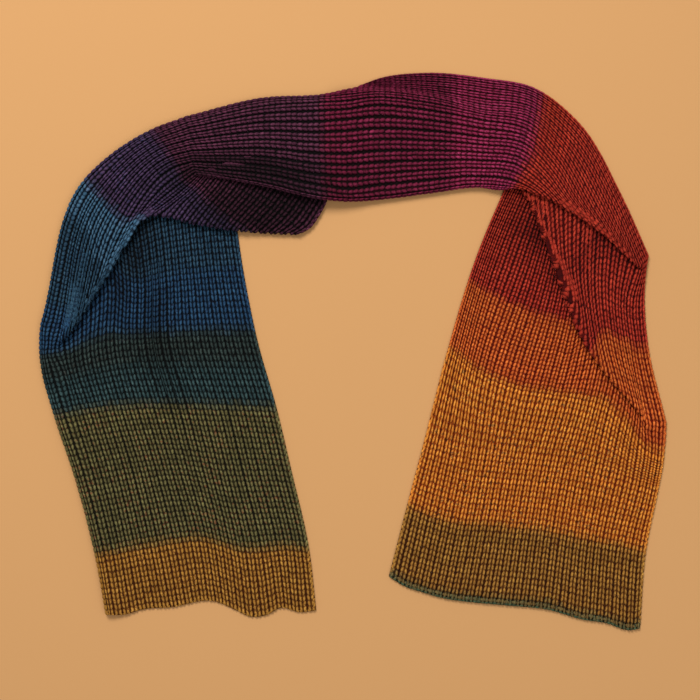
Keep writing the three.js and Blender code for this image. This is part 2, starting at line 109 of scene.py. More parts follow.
COURSES = [
    flat("cast-on edge", True, [
        (5, 105, 615, 1),
        (8.3, 125, 615, 0.3),
        (10.6, 143, 610, 0),
        (14, 170, 608, 0),
        (19.8, 214, 602, 0),
        (22.8, 236, 611, 0),
        (24.4, 249, 617, 0),
        (26.8, 268, 615, 0),
        (28.2, 279, 609, 0),
        (31.2, 301, 613, 0),
        (33, 316, 611, 0),
    ]),
    flat("mustard ends", True, [
        (5, 94, 555, 1),
        (8, 112, 552, 0.35),
        (13.8, 156, 544, 0),
        (19.4, 201, 539, 0),
        (25, 245, 550, 0),
        (30.6, 290, 548, 0),
        (33, 309, 550, 0),
    ]),
    flat("olive middle", True, [
        (5, 73, 475, 1),
        (8, 92, 472, 0.35),
        (13, 131, 468, 0),
        (20, 186, 466, 0.1),
        (27, 242, 470, 0),
        (33, 291, 470, 0),
    ]),
    flat("olive ends", True, [
        (5, 53, 415, 1),
        (8, 73, 411, 0.35),
        (11.6, 101, 407, 0),
        (15.8, 134, 404, 0),
        (21.2, 179, 404, 0),
        (26.6, 223, 405, 0),
        (33, 276, 407, 0),
    ]),
    flat("below the first tuck", True, [
        (5, 40, 366, 1),
        (8.3, 61, 362, 0.6),
        (12, 90, 354, 0),
        (15, 114, 348, 0),
        (20, 153, 345, 0),
        (26, 201, 344, 0),
        (33, 258, 344, 0),
    ]),
    flat("beside the first tuck", True, [
        (5, 38.5, 350, 1),
        (8.3, 58, 355, 0.7),
        (9.3, 67, 346, 0.3),
        (11, 81, 316, 0),
        (13, 99, 294, 0),
        (15, 115, 286, 0),
        (18, 137, 281, 0),
        (22, 166, 280, 0),
        (27, 201, 280, 0),
        (33, 245, 282, 0),
    ]),
    fold("first tuck, valley", True, [
        (5, 38.5, 340, 1, 1),
        (7, 48.5, 344, 1, 1),
        (8.3, 57, 347, 0.7, 0.9),
        (9.3, 66, 333, 0.1, 1.0),
        (10, 71, 313, 0, 1),
        (11.5, 79, 276, 0, 1),
        (13, 89, 238, 0, 1),
        (14.6, 99, 210, 0, 1),
        (16, 108, 193, 0, 1),
        (18.5, 125, 174, 0, 1),
        (21.3, 146, 158, 0, 1),
        (27, 187, 139, 0, 1),
        (33, 225, 123, 0, 1),
    ]),
    flat("under the flap", True, [
        (5, 39, 332, 1),
        (7, 49, 338, 1.1),
        (8.3, 58, 344, 1.2),
        (9.3, 64.5, 339, 1.15),
        (10, 69, 328, 1),
        (11.5, 78, 304, 1),
        (13, 87, 280, 1),
        (14.6, 98, 252, 1),
        (16, 113, 224, 1),
        (18.5, 145, 198, 1),
        (21.3, 169, 193, 1),
        (27, 217, 188, 1.05),
        (33, 264, 182, 0.95),
    ]),
    fold("first tuck, ridge", True, [
        (5, 40, 323, 1, 1),
        (7, 50.5, 331, 1.2, 1.2),
        (8.3, 59.5, 341, 1.5, 1.7),
        (9.3, 65, 339, 1.3, 2.2),
        (10, 70, 333, 1, 2.05),
        (11.5, 79, 320, 1, 2),
        (13, 90, 303, 1, 2),
        (14.6, 106, 277, 1, 2),
        (15.4, 119, 254, 1, 2),
        (16.2, 135, 226, 1, 2),
        (17.2, 148, 216.5, 1, 2),
        (18.5, 166, 217, 1, 2),
        (21.3, 190, 223, 1, 2),
        (23.8, 212, 227, 1, 2),
        (27, 239, 231, 0.6, 1.6),
        (30, 268, 233, 0, 1),
        (33, 299, 234, 0, 1),
    ]),
    flat("blue ends", True, [
        (5, 84, 178, 1),
        (7, 93, 189, 1.9),
        (8.5, 99, 196, 2.2),
        (10, 106, 204, 2.4),
        (12, 116, 213, 2.4),
        (14, 129, 220, 2.2),
        (16.2, 151, 210, 2.05),
        (18.5, 176, 206, 2),
        (21.3, 200, 210, 2),
        (27, 252, 217, 1.7),
        (33, 309, 229, 0.7),
    ]),
    flat("purple ends", True, [
        (5, 150, 129, 1),
        (7, 155, 136, 1.8),
        (9, 161, 144, 2.2),
        (12, 171, 157, 2.4),
        (14, 177, 167, 2.3),
        (15.5, 183, 178, 2.1),
        (17, 188, 186, 2),
        (18.5, 197, 187, 2),
        (21.3, 222, 185, 2.1),
        (27, 272, 194, 1.8),
        (33, 321, 213, 0.6),
    ]),
    fold("fold under the band, left", True, [
        (5, 187, 115, 1, 1),
        (7, 189, 123, 1.9, 1.9),
        (10, 191, 140, 2.4, 2.4),
        (13, 193, 157, 2.9, 2.9),
        (15, 194, 168, 3.1, 3.1),
        (16, 196, 173, 2.8, 3),
        (17, 201, 174, 2.1, 2.9),
        (18, 209, 170, 2, 3),
        (21.3, 238, 160, 2, 3),
        (25, 272, 150, 1, 2),
        (29, 306, 143, 0.3, 1.3),
        (33, 342, 140, 0, 1),
    ]),
    band("band over the fold", True, [
        (5, 262, 97, 1),
        (7, 262.5, 107, 2.1),
        (10, 263, 132, 2.6),
        (13, 264, 158, 3.3),
        (15, 264.5, 175.5, 3.9),
        (17, 265, 188, 2.9),
        (19, 268, 177, 2.9),
        (21.3, 275, 163, 2.7),
        (25, 295, 155, 1.8),
        (29, 325, 150, 1.25),
        (33, 356, 147, 1.05),
    ]),
    band("maroon ends", True, [
        (5, 322, 93.5, 1),
        (7, 322, 103, 2),
        (10, 322, 133, 2.5),
        (13, 323, 165, 3),
        (15, 324, 186.5, 3.3),
        (17, 325, 201, 2.2),
        (19, 331, 187, 1.9),
        (21.3, 340, 176, 1.3),
        (25, 352, 165, 0.8),
        (29, 365, 157, 0.5),
        (33, 378, 150, 0.4),
    ]),
    band("hem swings out", False, [
        (0, 347, 93.5, 0),
        (1.5, 347, 91.5, 0.5),
        (3, 347, 90.5, 1.2),
        (4.5, 347, 91.5, 1.9),
        (6, 347, 95.5, 2.4),
        (8, 347, 110, 2.4),
        (11, 347, 143, 2.3),
        (14, 347, 176.5, 2.4),
        (17, 348, 202.5, 1.3),
        (19, 352, 190, 1),
        (21.3, 360, 180, 0.5),
        (25, 370, 168, 0.1),
        (29, 380, 158, 0),
        (33, 392, 150, 0),
    ]),
    band("hem comes out", False, [
        (0, 372, 80, 0),
        (3, 372, 85, 0.1),
        (4.7, 371, 89, 0.7),
        (6, 371, 93, 2.1),
        (7.5, 371, 102, 2.3),
        (10, 371, 129, 1.8),
        (13, 371, 163, 1.5),
        (15, 371, 186, 1.4),
        (17, 372, 201, 0.4),
        (19, 376, 189, 0.1),
        (21.3, 382, 178, 0),
        (25, 392, 166, 0),
        (29, 402, 155, 0),
        (33, 414, 146, 0),
    ]),
    band("band middle", False, [
        (0, 426, 72, 0),
        (3, 427, 85, 0),
        (4.8, 428, 93, 0.5),
        (6, 429, 98, 1.9),
        (7.5, 429, 107, 2.2),
        (10, 429, 131, 1.5),
        (13, 429, 160.5, 1.2),
        (15, 429, 180, 1.1),
        (17, 429, 194, 0.1),
        (19, 432, 182, 0),
        (21.3, 436, 170, 0),
        (25, 442, 155, 0),
        (29, 449, 141, 0),
        (33, 456, 128, 0),
    ]),
    band("band before the right corner", False, [
        (0, 484, 77, 0),
        (3, 483, 92, 0),
        (4.8, 482, 103, 0.4),
        (6, 482, 110, 1.5),
        (7.5, 481, 117, 1.9),
        (10, 480, 137, 1.5),
        (13, 479, 160.5, 1.4),
        (15, 478.5, 176.3, 1.3),
        (17, 478, 188, 0.3),
        (19, 481, 177, 0.3),
        (21.3, 484, 164, 0.3),
        (25, 488, 147, 0.3),
        (29, 492, 130, 0.2),
        (33, 496, 114, 0.2),
    ]),
    band("band meets the right corner", False, [
        (0, 535, 87, 0),
        (2.5, 534, 99, 0.3),
        (5, 532, 113, 1.2),
        (6.5, 530.5, 121, 1.9),
        (9, 527, 138, 2.1),
        (12, 520, 158.5, 2.1),
        (14.5, 511.5, 176, 2.2),
        (17, 505, 190, 1.1),
        (19, 508, 178, 1.1),
        (21.3, 510, 165, 1),
        (25, 512, 148, 0.9),
        (29, 514, 132, 0.8),
        (33, 517, 117, 0.7),
    ]),
    flat("right corner, outside", False, [
        (0, 577, 119, 0),
        (2.5, 571, 130, 0.7),
        (5, 564, 143, 1.5),
        (7, 558, 153, 2.3),
        (9, 551.5, 163, 3),
        (11, 544, 172, 3.6),
        (13, 535.5, 180, 4),
        (15, 525.5, 187, 3.6),
        (16.5, 517, 187.8, 2.2),
        (17.5, 512.5, 184, 1.2),
        (21.3, 512, 166, 1),
        (25, 514, 149, 1),
        (29, 516.5, 133, 1),
        (33, 519, 117.5, 1),
    ]),
    flat("right corner, shoulder", False, [
        (0, 623, 196, 0),
        (2, 617, 203, 0.8),
        (4, 609, 210, 1.8),
        (6, 600, 214.5, 2.9),
        (8, 589, 214.5, 3.8),
        (10, 576, 208.5, 4.4),
        (12, 560, 200, 4.5),
        (14, 543, 193.5, 4.3),
        (15.5, 528, 190.5, 3.7),
        (16.5, 518.5, 188.3, 2.3),
        (17.5, 513, 184, 1.2),
        (21.3, 513, 166.5, 1),
        (25, 515, 149.5, 1),
        (29, 517.5, 133.5, 1),
        (33, 520, 118, 1),
    ]),
    fold("third tuck, ridge", False, [
        (0, 649, 254, 0, 0),
        (1.5, 643.5, 261, 1.3, 1.2),
        (2.5, 641, 267, 1.9, 1.4),
        (3.5, 636, 266, 2, 1),
        (5, 627, 256, 2, 1),
        (7, 616, 245, 2.2, 1.2),
        (9, 603, 234, 2.8, 1.8),
        (11, 586, 222, 3.8, 2.8),
        (13, 563, 208, 4.1, 3.1),
        (14.5, 545, 198.5, 4.1, 3.1),
        (15.5, 533, 193.5, 3.8, 2.9),
        (16.5, 520, 188.5, 2.1, 1.9),
        (17.5, 513.5, 184, 1.15, 1.15),
        (21.3, 514, 167, 1, 1),
        (25, 516, 150, 1, 1),
        (29, 518.5, 134, 1, 1),
        (33, 521, 118.5, 1, 1),
    ]),
    fold("third tuck, valley", False, [
        (0, 646.5, 268, 0, 0),
        (1.5, 643, 271, 1, 0.9),
        (2.5, 640, 268, 1.1, 0.7),
        (3.5, 634, 258, 1, 0.2),
        (5, 623, 240, 1, 0),
        (7, 606, 220, 1.3, 0.3),
        (9, 590, 207, 2.6, 1.6),
        (11, 572, 196, 3.2, 2.2),
        (13, 552, 186.5, 3.2, 2.2),
        (14.5, 538, 183, 3.1, 2.1),
        (15.5, 529.5, 183.5, 2.8, 2.1),
        (16.5, 521, 186.5, 1.9, 1.75),
        (17.5, 514.5, 183.5, 1.15, 1.15),
        (21.3, 515.5, 168, 1, 1),
        (25, 517.5, 151, 1, 1),
        (29, 520, 135, 1, 1),
        (33, 522.5, 119, 1, 1),
    ]),
    flat("second layer, upper", False, [
        (0, 645.5, 300, 0),
        (1.5, 637, 300, 0.1),
        (3.5, 624, 299, 0.6),
        (5, 614.5, 297, 1.5),
        (7, 601, 291, 2.2),
        (9, 587, 283, 2.1),
        (11, 572, 270, 2.1),
        (13, 556.5, 250, 2.1),
        (14.5, 541, 219, 2.1),
        (15.5, 530, 197, 2.05),
        (16.5, 521.5, 187.3, 1.7),
        (17.5, 515.5, 183.5, 1.15),
        (21.3, 517.5, 169, 1),
        (25, 519.5, 152, 1),
        (29, 522, 136, 1),
        (33, 524.5, 119.8, 1),
    ]),
    flat("second layer, lower", False, [
        (0, 649, 345, 0),
        (1.5, 640, 345, 0.1),
        (3.5, 628, 345, 0.6),
        (5, 619, 345, 1.6),
        (7, 607, 344, 2.2),
        (8.5, 597.5, 341, 2.1),
        (10, 587, 333, 2.1),
        (11.5, 574, 311, 2.1),
        (13, 559, 272, 2.1),
        (14.5, 542, 228, 2.1),
        (15.5, 531, 202, 2.05),
        (16.5, 522, 188, 1.65),
        (17.5, 516.5, 183.5, 1.15),
        (21.3, 519.5, 170, 1),
        (25, 521.5, 153, 1),
        (29, 524, 137, 1),
        (33, 526.5, 120.5, 1),
    ]),
    fold("fourth tuck, ridge", False, [
        (0, 667.5, 423, 0, 0),
        (1.5, 656, 423, 0.9, 0.9),
        (3, 645, 424, 1.6, 1.5),
        (4, 640, 414, 2, 1.2),
        (5, 633, 405, 2, 1),
        (6, 626, 397, 2, 1),
        (7, 618, 388, 2, 1),
        (8, 609, 378, 2, 1),
        (9, 599, 366, 2, 1),
        (10, 588, 350, 2, 1),
        (11.5, 572, 318, 2, 1),
        (13, 556.5, 276, 2, 1),
        (14.5, 540, 231, 2, 1),
        (15.5, 530, 205, 1.9, 1.05),
        (16.5, 522.5, 189, 1.6, 1.2),
        (17.5, 518, 184, 1.15, 1.1),
        (21.3, 522, 171.5, 1, 1),
        (25, 524, 154.5, 1, 1),
        (29, 526.5, 138.5, 1, 1),
        (33, 529, 121.5, 1, 1),
    ]),
    fold("fourth tuck, valley, and fold under the band, right", False, [
        (0, 667, 437, 0, 0),
        (1.5, 655.5, 433, 0.5, 0.5),
        (3, 645, 428, 1.2, 0.9),
        (4, 642, 413, 1.1, 0.2),
        (5, 637, 402, 1, 0),
        (6, 632, 392, 1, 0),
        (8, 621, 368, 1, 0),
        (10, 612, 325, 1, 0),
        (13, 603, 276, 1, 0),
        (15, 596, 243, 1, 0),
        (16.5, 590, 220, 1, 0),
        (18.5, 582, 196, 1, 0),
        (21.3, 573, 177, 1, 0),
        (25, 562, 158, 1, 0),
        (29, 549, 140, 1, 0),
        (33, 534, 124, 1, 0),
    ]),
    flat("right leg under the tuck", False, [
        (0, 666, 447, 0),
        (1.5, 656, 446, 0.2),
        (3, 646.5, 442, 0.3),
        (4, 640.5, 430, 0),
        (5.5, 633.5, 416, 0),
        (7, 626, 404, 0),
        (8.5, 617, 394, 0),
        (10.5, 606, 380, 0),
        (12.5, 595, 366, 0),
        (16, 576, 338, 0),
        (20.5, 553, 300, 0),
        (23, 540, 280, 0),
        (26, 523, 261, 0),
        (29, 502, 247, 0),
        (33, 474, 264, 0),
    ]),
    flat("orange ends", False, [
        (0, 664.5, 463, 0),
        (1.5, 655, 460, 0.1),
        (3, 645.5, 455, 0),
        (4.5, 635, 444, 0),
        (7, 621, 425, 0),
        (9, 608, 414, 0),
        (12, 589, 406, 0),
        (17.5, 549, 398, 0),
        (22, 514, 392, 0),
        (26.5, 480, 378, 0),
        (33, 447, 353, 0),
    ]),
    flat("gold middle", False, [
        (0, 660, 487, 0),
        (1.5, 651, 484, 0),
        (3, 641, 481, 0),
        (5.5, 622, 475, 0),
        (8, 603, 470, 0),
        (13, 566, 463, 0),
        (20, 515, 458, 0),
        (27, 465, 452, 0),
        (33, 424.5, 441, 0),
    ]),
    flat("gold ends", False, [
        (0, 647, 551, 0),
        (2.5, 629, 546, 0),
        (5.5, 607, 542, 0),
        (10.3, 573, 535, 0),
        (14, 546, 529, 0),
        (18, 517, 526, 0),
        (21.3, 493, 524, 0),
        (26.2, 457, 522, 0),
        (30.2, 428, 513, 0),
        (33, 407.5, 505, 0),
    ]),
    flat("bind-off edge", False, [
        (0, 641, 629, 0),
        (1.4, 631, 631, 0),
        (4.6, 607, 624, 0),
        (8, 582, 620, 0),
        (12, 551, 611, 0),
        (17.8, 506, 606, 0),
        (22, 473, 603, 0),
        (25.8, 444, 599, 0),
        (28.6, 423, 593, 0),
        (31.2, 403, 586, 0),
        (33, 389, 577, 0),
    ]),
]


def slopes(t, y, limited):
    """The slopes of a smooth curve through unevenly spaced points, along the first axis."""
    step = np.diff(t, axis=0)
    secant = np.diff(y, axis=0) / step
    slope = np.empty_like(y)
    slope[0] = secant[0]
    slope[-1] = secant[-1]
    before, after = step[:-1], step[1:]
    inner = (secant[:-1] * after + secant[1:] * before) / (before + after)
    if limited:
        least = np.minimum(np.abs(secant[:-1]), np.abs(secant[1:]))
        inner = np.sign(inner) * np.minimum(np.abs(inner), 3 * least)
        inner = np.where(secant[:-1] * secant[1:] <= 0, 0, inner)
    slope[1:-1] = inner
    return slope


def hermite(y0, y1, m0, m1, width, s):
    """A cubic between two points, from their heights and slopes."""
    s2, s3 = s * s, s * s * s
    first = (2 * s3 - 3 * s2 + 1) * y0 + (s3 - 2 * s2 + s) * width * m0
    return first + (3 * s2 - 2 * s3) * y1 + (s3 - s2) * width * m1


def curve_through(t, y, limited, at):
    """The curve's heights at the places `at`."""
    t, y = np.array(t, float), np.array(y, float)
    slope = slopes(t, y, limited)
    i = np.clip(np.searchsorted(t, at, side="left") - 1, 0, len(t) - 2)
    width = t[i + 1] - t[i]
    return hermite(y[i], y[i + 1], slope[i], slope[i + 1], width, (at - t[i]) / width)


def inside(outline, inner, distance, rib, layer):
    """A row at a distance inside an outline, towards the next one of its course."""
    right, down = inner[1] - outline[1], inner[2] - outline[2]
    share = distance / math.hypot(right, down)
    return (rib, outline[1] + right * share, outline[2] + down * share, layer, layer)


def round_outline(outline, inner, ribs, layers):
    """The round where the cloth turns under along an outline, from one layer to the next."""
    made = []
    for turn in (0, 0.25, 0.5, 0.75, 1):
        distance = HALF_CLOTH + BEND_RADIUS * (1 - math.sin(math.pi * turn))
        share = (1 - math.cos(math.pi * turn)) / 2
        rib = ribs[0] + (ribs[1] - ribs[0]) * turn
        made.append(inside(outline, inner, distance, rib, layers[0] + (layers[1] - layers[0]) * share))
    return made


def hem_rows(rows):
    """The turned-under selvedge: from the hidden edge below the scarf, round the outline and on top."""
    hidden = inside(rows[0], rows[1], HEM_DEPTH, 0, 0)
    return [hidden] + round_outline(rows[0], rows[1], (HEM_FLAT_RIBS, HEM_RIBS), (0, 1)) + list(rows[1:])


def turn_rows(rows):
    """The band's lower edge, where the inner half of the cloth turns under."""
    at = [row[0] for row in rows].index(TURN_RIB)
    ribs = (TURN_RIB - TURN_HALF_RIBS, TURN_RIB + TURN_HALF_RIBS)
    edge = round_outline(rows[at], rows[at - 1], ribs, (rows[at][3] + 1, rows[at][3]))
    return list(rows[:at]) + edge + list(rows[at + 1:])


def course_points(course, ribs):
    """The cloth's middle along a course, before and after its fold, at each rib."""
    rows = turn_rows(course["rows"]) if course["turned"] else course["rows"]
    rows = hem_rows(rows) if course["hem"] else rows
    rib, right, down, layer, after = zip(*rows)
    x = curve_through(rib, right, False, ribs) - BOARD_ORIGIN[0]
    y = BOARD_ORIGIN[1] - curve_through(rib, down, False, ribs)
    heights = [HALF_CLOTH + LAYER_PITCH * np.array(one) for one in (layer, after)]
    z = [curve_through(rib, one, True, ribs) for one in heights]
    return np.stack([x, y, z[0]], 1), np.stack([x, y, z[1]], 1)


def length(vectors):
    return np.linalg.norm(vectors, axis=-1, keepdims=True)


def unit(vectors):
    return vectors / np.maximum(length(vectors), 1e-9)


def lengths_along(points):
    """The length along each rib up to each of its points."""
    lengths = np.cumsum(length(np.diff(points, axis=0)), 0)
    return np.concatenate([np.zeros_like(lengths[:1]), lengths])


def towards(start, end, distance):
    run = length(end - start)
    return start + (end - start) / run * np.minimum(distance, SHORT_EDGE_SHARE * run)


def bend(entry, before, after, leave):
    """The round of a fold, between the places where the cloth enters and leaves it."""
    apex = (before + after) / 2
    rise = (after[:, 2] - before[:, 2]) / 2
    made = []
    for step in range(1, BEND_STEPS + 1):
        angle = math.pi * (step / BEND_STEPS - 0.5)
        side = entry if angle < 0 else leave
        point = apex + (side - apex) * (1 - math.cos(angle))
        point[:, 2] = apex[:, 2] + rise * math.sin(angle)
        made.append(point)
    return made


def smooth_run(stations):
    """A smooth run through the stations, in steps of about the same length."""
    stations = np.array(stations)
    t = lengths_along(stations)
    plain = slopes(t, stations, False)
    limited = slopes(t, stations[..., 2:], True)
    slope = np.concatenate([plain[..., :2], limited], -1)
    made = []
    for k in range(1, len(stations)):
        width = t[k] - t[k - 1]
        steps = max(2, math.ceil(width.mean() / STEP))
        for step in range(1, steps + 1):
            made.append(hermite(stations[k - 1], stations[k], slope[k - 1], slope[k], width, step / steps))
    return made


def cloth_middle():
    """The cloth's middle as a grid of stations by ribs, and the station of each course."""
    ribs = np.linspace(0, KNIT_RIBS, PARTS_OF_A_RIB * KNIT_RIBS + 1)
    points = [course_points(course, ribs) for course in COURSES]
    grid = [points[0][0]]
    run = [points[0][0]]
    for i in range(1, len(COURSES)):
        before, after = points[i]
        if not COURSES[i]["fold"]:
            run.append(before)
            continue
        entry = towards(before, points[i - 1][1], BEND_RADIUS)
        grid += smooth_run(run + [entry])
        leave = towards(after, points[i + 1][0], BEND_RADIUS)
        grid += bend(entry, before, after, leave)
        run = [grid[-1]]
    grid += smooth_run(run)
    grid = np.array(grid)
    stations = [int(np.argmin(length(grid - (a + b) / 2).mean((1, 2)))) for a, b in points]
    return grid, dict(zip([course["name"] for course in COURSES], stations))


def shared_rows(along, counted, marks):
    """The row of knitting at each point: shared out evenly along each rib between two marked stations."""
    marks = [0] + sorted(marks) + [len(along) - 1]
    rows = np.zeros_like(along)
    for first, last in zip(marks[:-1], marks[1:]):
        share = (along[first:last + 1] - along[first]) / (along[last] - along[first])
        rows[first:last + 1] = counted[first] + share * (counted[last] - counted[first])
    return rows


def row_numbers(grid, station_of):
    """The rows of knitting on the grid. The left corner's marks hold for the outer ribs alone."""
    along = lengths_along(grid)[..., 0]
    first, last = (PARTS_OF_A_RIB * rib for rib in COUNTED_RIBS)
    counted = along[:, first:last].mean(1) / ROW_HEIGHT
    marks = [station_of[name] for name in ROW_MARKS]
    outer = shared_rows(along, counted, marks + [station_of[name] for name in CORNER_MARKS])
    inner = shared_rows(along, counted, marks)
    rib = np.arange(grid.shape[1]) / PARTS_OF_A_RIB
    share = np.clip((rib - CORNER_RIBS[0]) / (CORNER_RIBS[1] - CORNER_RIBS[0]), 0, 1)
    return outer * (1 - share) + inner * share


def facing(grid):
    """The direction that the cloth's right side faces."""
    def both_ways(axis):
        step = unit(np.diff(grid, axis=axis))
        pad = [(0, 0)] * 3
        pad[axis] = (1, 1)
        step = np.pad(step, pad)
        first = [slice(None)] * 3
        last = [slice(None)] * 3
        first[axis], last[axis] = slice(0, -1), slice(1, None)
        return unit(step[tuple(first)] + step[tuple(last)])

    return unit(np.cross(both_ways(1), both_ways(0)))


def squareness(grid):
    """How squarely the ribs cross the courses, from 0 where they run side by side to 1."""
    along, across = np.gradient(grid, axis=0), np.gradient(grid, axis=1)
    return (length(np.cross(along, across)) / np.maximum(length(along) * length(across), 1e-9))[..., 0]


GRID, STATION_OF = cloth_middle()
SQUARENESS = squareness(GRID)
GRID_ROWS = row_numbers(GRID, STATION_OF)
FACING = facing(GRID)
ROWS = float(GRID_ROWS[-1, 0])
ROW_SAMPLES = np.arange(0, ROWS + ROW_SAMPLE, ROW_SAMPLE)
STATIONS_AT = np.array([np.interp(ROW_SAMPLES, column, np.arange(len(GRID))) for column in GRID_ROWS.T])


def row_of(name):
    """The row at which a course lies."""
    return float(GRID_ROWS[STATION_OF[name], PARTS_OF_A_RIB * COUNTED_RIBS[0]])


def cells(at, count):
    """The cell that each place lies in and how far along it, in a list of `count` values."""
    at = np.clip(at, 0, count - 1.001)
    return at.astype(int), at - at.astype(int)


def station_at(rib, row):
    """The station along the grid at a rib and a row."""
    j, u = cells(rib * PARTS_OF_A_RIB, len(STATIONS_AT))
    k, w = cells(row / ROW_SAMPLE, len(ROW_SAMPLES))
    near = STATIONS_AT[j, k] * (1 - w) + STATIONS_AT[j, k + 1] * w
    far = STATIONS_AT[j + 1, k] * (1 - w) + STATIONS_AT[j + 1, k + 1] * w
    return near * (1 - u) + far * u


def square_at(rib, row):
    """The squareness at the nearest point of the grid."""
    i = np.rint(station_at(rib, row)).astype(int)
    return SQUARENESS[i, np.rint(rib * PARTS_OF_A_RIB).astype(int)]


def on_grid(rib, station, height):
    """Points in metres at a rib, a station and a height over the cloth's middle."""
    j, u = cells(rib * PARTS_OF_A_RIB, GRID.shape[1])
    i, v = cells(station, len(GRID))
    u, v = u[..., None], v[..., None]

    def blended(field):
        near = field[i, j] * (1 - u) + field[i, j + 1] * u
        far = field[i + 1, j] * (1 - u) + field[i + 1, j + 1] * u
        return near * (1 - v) + far * v

    place = blended(GRID) + unit(blended(FACING)) * height[..., None]
    place[..., 2] = np.maximum(place[..., 2], 0)
    return place * MM


def painted_hollow_shade(rib, row):
    """How much painted shade the cloth has in its soft hollows, from 0: shade painted into the colour rather
    than cast by light on the shape.
    """
    painted_dark = np.zeros(np.broadcast(rib, row).shape)
    for at_rib, at_row, half_ribs, half_rows, amount in PAINTED_SHADE_HOLLOWS:
        across, along = (rib - at_rib) / half_ribs, (row - at_row) / half_rows
        painted_dark = painted_dark + amount * np.exp(-(across**2) - along**2)
    return painted_dark


def trough(rib, row):
    """How far the cloth sinks in the grooves and soft pleats between its ribs, in millimetres."""
    groove = np.round(rib)
    loose = 0.5 + 0.5 * np.sin(2.3 * groove + row * 0.05) * np.sin(1.1 * groove - row * 0.11)
    drawn_in = np.interp(row, DRAWN_IN_ROWS, DRAWN_IN) + 0.25 * loose
    sunk = drawn_in * np.exp(-(((rib - groove) / TROUGH_HALF_RIBS) ** 2))
    for at, first, last, depth in TROUGHS:
        across = np.exp(-(((rib - at) / TROUGH_HALF_RIBS) ** 2))
        ends = np.clip((row - first) / TROUGH_RUN_OUT, 0, 1) * np.clip((last - row) / TROUGH_RUN_OUT, 0, 1)
        sunk = sunk + depth * across * ends
    return sunk


def on_cloth(rib, row, height):
    """Points in metres at a rib, a row and a height over the cloth's middle."""
    return on_grid(rib, station_at(rib, row), height - trough(rib, row))


random = np.random.default_rng(33)

# A stitch's leg, in rib widths, rows and millimetres
LEG_FOOT = 0.19
LEG_SHOULDER = 0.29
LEG_PULL = 0.02
LEG_HALF_WIDTH = 0.182
LEG_TAPER = 0.15
LEG_HALF_LENGTH = 0.63
LEG_HALF_HEIGHT = 1.1
LEG_MIDDLE = 0.7
STITCH_PIECES = 5

# Where the ribs run slanted over the rows, stitches keep their own shape in millimetres and the base is higher
LEAST_SQUARENESS = 0.32
STIFF_LEG = np.array([1.5, 3.3, 1.1])
SLANTED_LIFT = 0.9

# More stitches where the ribs lie far apart: their place between two ribs, and the least gap in millimetres
FILLERS = [(0, 13.5), (-0.25, 19), (0.25, 19)]

# How far all the grooves are drawn in, in millimetres at some rows
DRAWN_IN_ROWS = (56, 70, 104, 118)
DRAWN_IN = (0, 0.65, 0.65, 0.2)

# Soft pleats: the groove's rib number, its first and last row and its depth in millimetres
TROUGH_HALF_RIBS = 0.24
TROUGH_RUN_OUT = 6
TROUGHS = [
    (18, 44, 64, 0.7),
    (19, 38, 66, 0.9),
    (20, 34, 68, 1.1),
    (21, 30, 68, 1.1),
    (22, 32, 64, 0.9),
    (13, 14, 40, 0.5),
    (27, 8, 44, 0.4),
    (8, 104, 168, 0.5),
    (9, 112, 150, 0.6),
    (10, 100, 165, 0.8),
    (12, 96, 150, 1.0),
    (13, 112, 172, 0.6),
    (14, 98, 140, 1.2),
    (15, 120, 176, 0.8),
]

# Painted shade in soft hollows, painted into the colour where shade falls: the middle rib and row, the half
# width in ribs, the half length in rows and the amount
PAINTED_SHADE_HOLLOWS = [
    (28, 108, 4.5, 9, 0.6),
    (22.5, 104, 3, 6, 0.35),
    (30.5, 114, 3, 5, 0.3),
    (14.8, 120, 1.6, 15, 0.7),
    (13.2, 114, 0.8, 14, 0.3),
    (16.2, 104, 1.2, 7, 0.35),
    (19.5, 72, 1.8, 4, 0.5),
    (17.6, 65, 1.8, 4, 0.5),
    (15.4, 58, 1.6, 4, 0.4),
    (27, 79, 7, 4, 0.45),
    (20.4, 50, 1.6, 14, 0.3),
    (24, 201, 2.5, 3.5, 0.45),
    (20.5, 208, 2.2, 4, 0.35),
    (26, 199, 6, 8, 0.3),
    (7, 203, 5, 3.5, 0.35),
    (12, 212, 3, 5, 0.15),
]

# The stripes, with the row where each ends and its colours: most of the yarn, its lighter strand, its flecks
STRIPE_BLEND = 0.9


def stripe(ends, main, light, fleck):
    return {"ends": ends, "main": main, "light": light, "fleck": fleck}


STRIPES = [
    stripe(row_of("mustard ends"), (154, 104, 38), (188, 140, 62), (98, 52, 18)),
    stripe(row_of("olive ends"), (88, 80, 46), (124, 118, 72), (110, 60, 36)),
    stripe(row_of("below the first tuck") - 3, (38, 60, 62), (66, 88, 86), (26, 40, 46)),
    stripe(row_of("below the first tuck") + 2.6, (34, 46, 44), (60, 74, 68), (40, 38, 34)),
    stripe(row_of("below the first tuck") + 13, (27, 56, 85), (50, 88, 116), (22, 32, 56)),
    stripe(row_of("blue ends") - 8, (28, 56, 76), (56, 86, 104), (20, 30, 50)),
    stripe(row_of("blue ends"), (50, 84, 108), (80, 112, 134), (32, 46, 66)),
    stripe(row_of("purple ends"), (60, 42, 68), (86, 64, 96), (34, 40, 66)),
    stripe(row_of("maroon ends"), (74, 30, 50), (104, 54, 76), (42, 18, 32)),
    stripe(row_of("band middle") + 4, (98, 17, 43), (132, 40, 72), (58, 12, 26)),
    stripe(row_of("band meets the right corner") + 1.5, (132, 30, 64), (162, 54, 94), (74, 14, 34)),
    stripe(row_of("orange ends") - 20, (160, 42, 28), (194, 70, 46), (88, 20, 14)),
    stripe(row_of("orange ends") - 2, (192, 86, 32), (220, 124, 54), (124, 42, 20)),
    stripe(row_of("gold ends"), (202, 116, 36), (230, 160, 62), (100, 72, 44)),
    stripe(ROWS - 1.2, (152, 102, 40), (184, 138, 60), (98, 60, 28)),
    stripe(ROWS, (48, 62, 44), (76, 92, 64), (30, 40, 30)),
]

